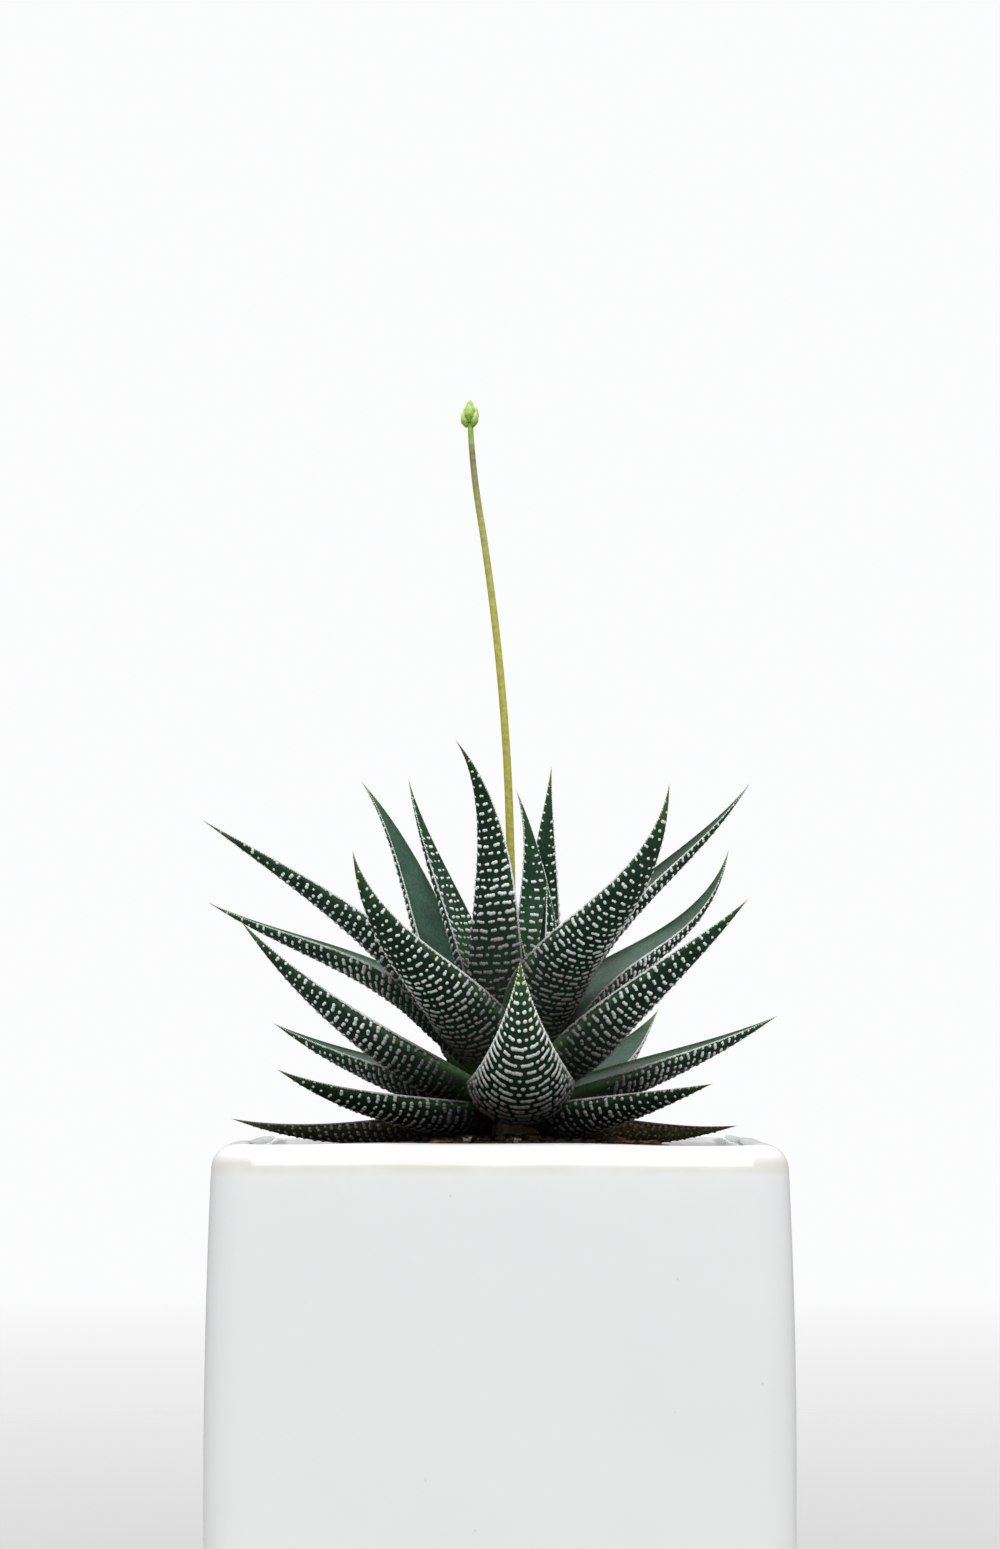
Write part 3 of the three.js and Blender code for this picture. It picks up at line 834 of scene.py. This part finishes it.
def bend(piece, spine, length):
    """Bends a straight leaf, standing up Z from its foot, along its spine."""
    steps = len(spine) - 1
    for vertex in piece.data.vertices:
        x, y, z = vertex.co
        where = min(max(z / length, 0), 1) * steps
        low = min(int(where), steps - 1)
        share = where - low
        point, across, inwards = (
            mix(first, second, share) for first, second in zip(spine[low], spine[low + 1])
        )
        vertex.co = point + across * x + inwards * y


def section(length, width, distance):
    """Half a leaf's width, and its depth, at a distance from its foot."""
    place = min(distance / length, LEAF_TIP)
    return width / 2 * width_share(place), width * LEAF_THICKNESS * thickness_share(place)


def around(half_width, depth, turn):
    """A point of a leaf's section at a turn about its keel, and the way out there: the outer face up to a
    quarter turn either way, and the hollow inner one beyond. The way out is as long as the step that the
    point takes for a radian of turn."""
    rise = -depth if math.cos(turn) > 0 else LEAF_HOLLOW * depth
    point = Vector((half_width * math.sin(turn), rise * math.cos(turn)))
    away = Vector((-rise * math.sin(turn), -half_width * math.cos(turn)))
    return point, away


def dash_of(place, rows, chance):
    """How many warts run together into a dash, how broad each is, and the bare gap after it (mm)."""
    if rows is BANDED_ROWS:
        count = chance.choice(BANDED_TIP_DASHES if place > BANDED_TIP_FROM else BANDED_DASHES)
        breadth = mix(*rows["breadth"], place) * chance.uniform(0.9, 1.1)
        return count, breadth, chance.uniform(*BANDED_GAP)
    breadth = mix(*rows["breadth"], place) * chance.uniform(0.8, 1.15)
    longest = mix(*PLAIN_RUN, min(1, 1.05 * place))
    count = 1 + int(chance.uniform(0, 1) * longest + chance.uniform(0, 0.6))
    return count, breadth, mix(*PLAIN_GAP, place) * chance.uniform(0.6, 1.5)


def wart_row(length, width, distance, first_turn, last_turn, rows, chance):
    """A row of warts across a face: wavy dashes of warts that overlap, with bare skin between."""
    half_width, depth = section(length, width, distance)
    turn = first_turn + math.radians(chance.uniform(0, 9))
    while turn < last_turn:
        count, breadth, gap = dash_of(distance / length, rows, chance)
        slant = chance.uniform(-0.5, 0.5) * rows["slant"] * MM
        shift = chance.uniform(-1, 1) * rows["shift"] * MM
        for i in range(count):
            _, away = around(half_width, depth, turn)
            pace = max(away.length, 0.3 * half_width)
            if turn < last_turn:
                size = breadth * chance.uniform(0.82, 1.1) * MM
                wave = slant * (i - count / 2) + chance.uniform(-0.07, 0.07) * MM
                yield distance + shift + wave, turn, size * WART_ACROSS, size, size * WART_HEIGHT
            turn += (1 - WART_OVERLAP) * breadth * MM / pace
        turn += (WART_OVERLAP * breadth + gap) * MM / pace


def bead_places(length, width, within, rows, chance):
    """Where a leaf's warts sit, and how big each is: its distance along the leaf, its turn about the keel,
    and its size across, along and out. They stand in rows over the outer face, and over the inner one too
    where the leaf is warted within, and a chain of smaller ones follows each margin."""
    outer_face = math.radians(84)  # the turn at which the outer face's rows end
    inner_face = math.radians(112)  # the turn at which the inner face's rows begin
    bare_foot = 0.3  # how far up the leaf they begin
    distance = 0.08 * length
    while distance < 0.95 * length:
        place = distance / length
        yield from wart_row(length, width, distance, -outer_face, outer_face, rows, chance)
        if within and place > bare_foot:
            last = 2 * math.pi - inner_face
            yield from wart_row(length, width, distance, inner_face, last, PLAIN_ROWS, chance)
        distance += mix(*rows["step"], place) * chance.uniform(0.93, 1.07) * MM

    margin = 88  # degrees of turn
    for side in (-1, 1):
        distance = 0.06 * length
        while distance < 0.985 * length:
            place = distance / length
            size = mix(*MARGIN_BREADTH, place) * rows["margin"] * MM * chance.uniform(0.88, 1.12)
            turn = side * math.radians(margin + chance.uniform(-1.5, 1.5))
            yield distance, turn, size, size * MARGIN_ALONG, size * MARGIN_HEIGHT
            distance += size * mix(0.75, 1.4, max(0, place - 0.6) / 0.4)


def string_beads(master, name, number, length, width, chance):
    """All the warts of one leaf, on a straight leaf standing up Z."""
    shape = [vertex.co.copy() for vertex in master.data.vertices]
    pattern = [list(face.vertices) for face in master.data.polygons]
    rows = BANDED_ROWS if number in BANDED else PLAIN_ROWS
    sunk = 0.05 * MM  # how far each wart's foot goes into the skin
    points = []
    faces = []
    places = bead_places(length, width, number in WARTED_WITHIN, rows, chance)
    for distance, turn, across, breadth, lift in places:
        half_width, depth = section(length, width, distance)
        _, away = around(half_width, depth, turn)
        pace = max(away.length, 0.1 * MM)
        faces += [[len(points) + i for i in face] for face in pattern]
        for corner in shape:
            here = turn + corner.x * across / 2 / pace
            point, away = around(half_width, depth, here)
            raised = away.normalized() * (corner.z * lift - sunk)
            arched = rows["arch"] * half_width * (1 - abs(math.cos(here)))
            up = distance + corner.y * breadth / 2 + arched
            points.append((point.x + raised.x, point.y + raised.y, up))
    return mesh_piece(name, points, faces)


def inner_share(vertex, length, width):
    """Whether a vertex of a straight leaf is on its inner face."""
    half_width, depth = section(length, width, vertex.co.z)
    level = math.sqrt(max(0, 1 - (vertex.co.x / half_width) ** 2))
    return 1.0 if vertex.co.y > -depth * level * 0.6 - 1e-6 else 0.0


def edge_share(vertex, length, width):
    """How far a vertex of a straight leaf is from its middle, on the way to its margin."""
    half_width, _ = section(length, width, vertex.co.z)
    return abs(vertex.co.x) / half_width


def make_leaves(skin, beads):
    """Every leaf: a copy of the straight blade at its own size, strung with warts and bent to its spine."""
    blade = master_blade()
    bead = master_bead()
    chance = random.Random(20)
    for number, (heading, length, width, rises, height_of_foot, swing) in enumerate(LEAVES, 1):
        length *= MM
        width *= MM
        leaf = copy_of(blade, f"haworthia_leaf_{number:02}")
        leaf.data.transform(Matrix.Diagonal((width, width, length, 1)))
        for name, share in (("inner", inner_share), ("edge", edge_share)):
            mark(leaf, name, lambda vertex: share(vertex, length, width))
        # the bloom's strength also carries a painted reflection of the sky on the leaves that face up
        own = {"tone": chance.random(), "bloom_and_sheen": BLOOM_AND_SHEEN.get(number, 0.0), "age": AGED.get(number, 0.0)}
        warts = string_beads(bead, f"warts_{number:02}", number, length, width, chance)
        leaf.data.materials.append(skin)
        warts.data.materials.append(beads)
        bpy.ops.object.select_all(action="DESELECT")
        warts.select_set(True)
        leaf.select_set(True)
        bpy.context.view_layer.objects.active = leaf
        bpy.ops.object.join()
        mark(leaf, "along", lambda vertex: vertex.co.z / length)
        for name, value in own.items():
            mark(leaf, name, lambda vertex: value)
        bend(leaf, spine_of(heading, length, rises, height_of_foot * MM, swing), length)
        hand_over(leaf, leaf.name, None, [f"leaf_{number:02}"])
    throw_away(blade, bead)


# ---------------------------------------------------------------- flower stalk and buds
def make_stalk(finish):
    """A tapering rod drawn along the stalk's route."""
    line = bpy.data.curves.new("flower_stem", "CURVE")
    line.dimensions = "3D"
    line.resolution_u = 8
    line.bevel_depth = STALK_RADIUS
    line.bevel_resolution = 4
    line.use_fill_caps = True
    spline = line.splines.new("BEZIER")
    spline.bezier_points.add(len(STALK_ROUTE) - 1)
    for i, (point, place) in enumerate(zip(spline.bezier_points, STALK_ROUTE)):
        point.co = Vector(place) * MM
        point.handle_left_type = "AUTO"
        point.handle_right_type = "AUTO"
        point.radius = mix(1, STALK_TIP_RADIUS / STALK_RADIUS, i / (len(STALK_ROUTE) - 1))
    stalk = bpy.data.objects.new("flower_stem", line)
    bpy.context.scene.collection.objects.link(stalk)
    bpy.ops.object.select_all(action="DESELECT")
    stalk.select_set(True)
    bpy.context.view_layer.objects.active = stalk
    bpy.ops.object.convert(target="MESH")
    bpy.ops.object.shade_smooth()
    hand_over(stalk, "flower_stem", finish, ["flower_stalk"])


def master_bud():
    """A bud a unit long, standing on its foot: a ball drawn out to a beak, in three overlapping scales."""
    bud = start(
        bpy.ops.mesh.primitive_uv_sphere_add, segments=12, ring_count=10, radius=0.5, location=(0, 0, 0.5),
    )
    # between two heights, what is left of the width
    for low, high, left in ((0.9, 2, 0.7), (0.6, 2, 0.72), (-1, 0.25, 0.8)):
        pick_points(bud, lambda p: low < p.z < high)
        bpy.ops.transform.resize(value=(left, left, 1), center_override=(0, 0, 0))
    scales = 3
    for i in range(scales):
        turn = 2 * math.pi * i / scales
        seam = Vector((math.cos(turn), math.sin(turn), 0))
        pick_points(
            bud,
            lambda p: 0.2 < p.z < 0.9 and math.hypot(p.x, p.y) > 0.05
            and Vector((p.x, p.y, 0)).normalized().dot(seam) > 0.95,
        )
        bpy.ops.transform.resize(value=(0.82, 0.82, 1), center_override=(0, 0, 0.5))
    return done(bud)


def make_buds(finish):
    """The young flower head: rings of buds that lean out a little from the stalk's end, and one on top."""
    master = master_bud()
    mark(master, "along", lambda vertex: vertex.co.z)
    tip = Vector(STALK_ROUTE[-1]) * MM
    for i in range(BUD_COUNT):
        below, outwards, lean, scale, turn = BUD_RINGS[i // BUDS_IN_RING]
        around_stalk = math.radians(turn + 360 / BUDS_IN_RING * (i % BUDS_IN_RING))
        bud = copy_of(master, f"flower_bud_{i + 1}")
        width = BUD_WIDTH * scale
        bud.data.transform(
            Matrix.Translation(tip - Vector((0, 0, below * MM))) @ Matrix.Rotation(around_stalk, 4, "Z")
            @ Matrix.Translation((outwards * MM, 0, 0)) @ Matrix.Rotation(math.radians(lean), 4, "Y")
            @ Matrix.Diagonal((width, width, BUD_LENGTH * scale, 1))
        )
        modify(bud, "SUBSURF", levels=1, render_levels=1)
        hand_over(bud, f"flower_bud_{i + 1}", finish, [f"bud_{i + 1}"])
    throw_away(master)


# ---------------------------------------------------------------- stage, light and camera
def make_stage():
    """A pale round floor that fades out into the white far behind the pot."""
    floor = start(bpy.ops.mesh.primitive_circle_add, vertices=96, radius=FLOOR_RADIUS, fill_type="NGON")
    done(floor)
    floor.name = "floor"
    made, tree, shader = new_finish("pale_floor", 0.7)
    pale = blend(tree, noise(tree, 3), (0.35, 0.345, 0.335), (0.39, 0.385, 0.375))
    tree.links.new(pale, shader.inputs["Base Color"])
    place = tree.nodes.new("ShaderNodeTexCoord")
    far = tree.nodes.new("ShaderNodeVectorMath")
    far.operation = "LENGTH"
    tree.links.new(place.outputs["Object"], far.inputs[0])
    away = spread(tree, far.outputs["Value"], *FLOOR_FADE)
    gone = tree.nodes.new("ShaderNodeMath")
    gone.operation = "POWER"
    gone.inputs[1].default_value = FLOOR_FADE_CURVE
    tree.links.new(away, gone.inputs[0])
    clear = tree.nodes.new("ShaderNodeBsdfTransparent")
    both = tree.nodes.new("ShaderNodeMixShader")
    tree.links.new(gone.outputs["Value"], both.inputs["Fac"])
    tree.links.new(shader.outputs["BSDF"], both.inputs[1])
    tree.links.new(clear.outputs["BSDF"], both.inputs[2])
    tree.links.new(both.outputs["Shader"], tree.nodes["Material Output"].inputs["Surface"])
    floor.data.materials.append(made)


def soft_box(name, place, aim, size, power):
    """A square lamp, a size across in metres and of a power in watts, turned to a point."""
    lamp = bpy.data.lights.new(name, "AREA")
    lamp.shape = "SQUARE"
    lamp.size = size
    lamp.energy = power
    box = bpy.data.objects.new(name, lamp)
    box.location = place
    box.rotation_euler = (Vector(aim) - Vector(place)).to_track_quat("-Z", "Y").to_euler()
    bpy.context.scene.collection.objects.link(box)


def make_light():
    """A white room whose light comes mostly from above, with a broad soft box over and behind the plant
    and another in front."""
    world = bpy.data.worlds.new("white_room")
    world.use_nodes = True
    tree = world.node_tree
    backdrop = tree.nodes["Background"]
    backdrop.inputs["Color"].default_value = (0.97, 0.975, 0.98, 1)
    room = tree.nodes.new("ShaderNodeBackground")
    room.inputs["Color"].default_value = (0.97, 0.985, 1.0, 1)
    brightness = spread(tree, height(tree, "Generated"), -0.3, 0.9, *ROOM_LIGHT)
    tree.links.new(brightness, room.inputs["Strength"])
    rays = tree.nodes.new("ShaderNodeLightPath")
    both = tree.nodes.new("ShaderNodeMixShader")
    tree.links.new(rays.outputs["Is Camera Ray"], both.inputs["Fac"])
    tree.links.new(room.outputs["Background"], both.inputs[1])
    tree.links.new(backdrop.outputs["Background"], both.inputs[2])
    tree.links.new(both.outputs["Shader"], tree.nodes["World Output"].inputs["Surface"])
    bpy.context.scene.world = world
    soft_box("over_and_behind", place=(-0.15, 0.7, 0.9), aim=(0, 0, 0.09), size=1.0, power=5)
    soft_box("front", place=(0.1, -1.0, 0.9), aim=(0, 0, 0.06), size=0.8, power=6.4)
    bpy.context.scene.view_settings.view_transform = "Standard"


def make_camera():
    """A long lens at the height of the rosette's foot, tipped up a little."""
    lens = bpy.data.cameras.new("camera")
    lens.lens = LENS
    lens.clip_start = 0.01
    camera = bpy.data.objects.new("camera", lens)
    camera.location = CAMERA_PLACE
    camera.rotation_euler = (math.radians(90 + CAMERA_TIP), 0, 0)
    bpy.context.scene.collection.objects.link(camera)
    bpy.context.scene.camera = camera


# ---------------------------------------------------------------- assembly
mix_finish = soil_finish()
make_pot(glaze_finish())
make_soil(mix_finish)
make_litter(
    mix_finish,
    chip_finish("bark_chip", (0.05, 0.025, 0.012), (0.14, 0.075, 0.035), (0.30, 0.18, 0.09)),
    chip_finish("perlite", (0.30, 0.27, 0.24), (0.52, 0.49, 0.45), (0.74, 0.72, 0.69)),
)
make_stones(chip_finish("grit", (0.22, 0.12, 0.09), (0.40, 0.24, 0.18), (0.58, 0.42, 0.34)))
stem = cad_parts["stem_and_roots"]
stem.data.materials.clear()
stem.data.materials.append(bark_finish())
make_leaves(leaf_finish(), bead_finish())
make_stalk(stalk_finish())
make_buds(bud_finish())
make_stage()
make_light()
make_camera()
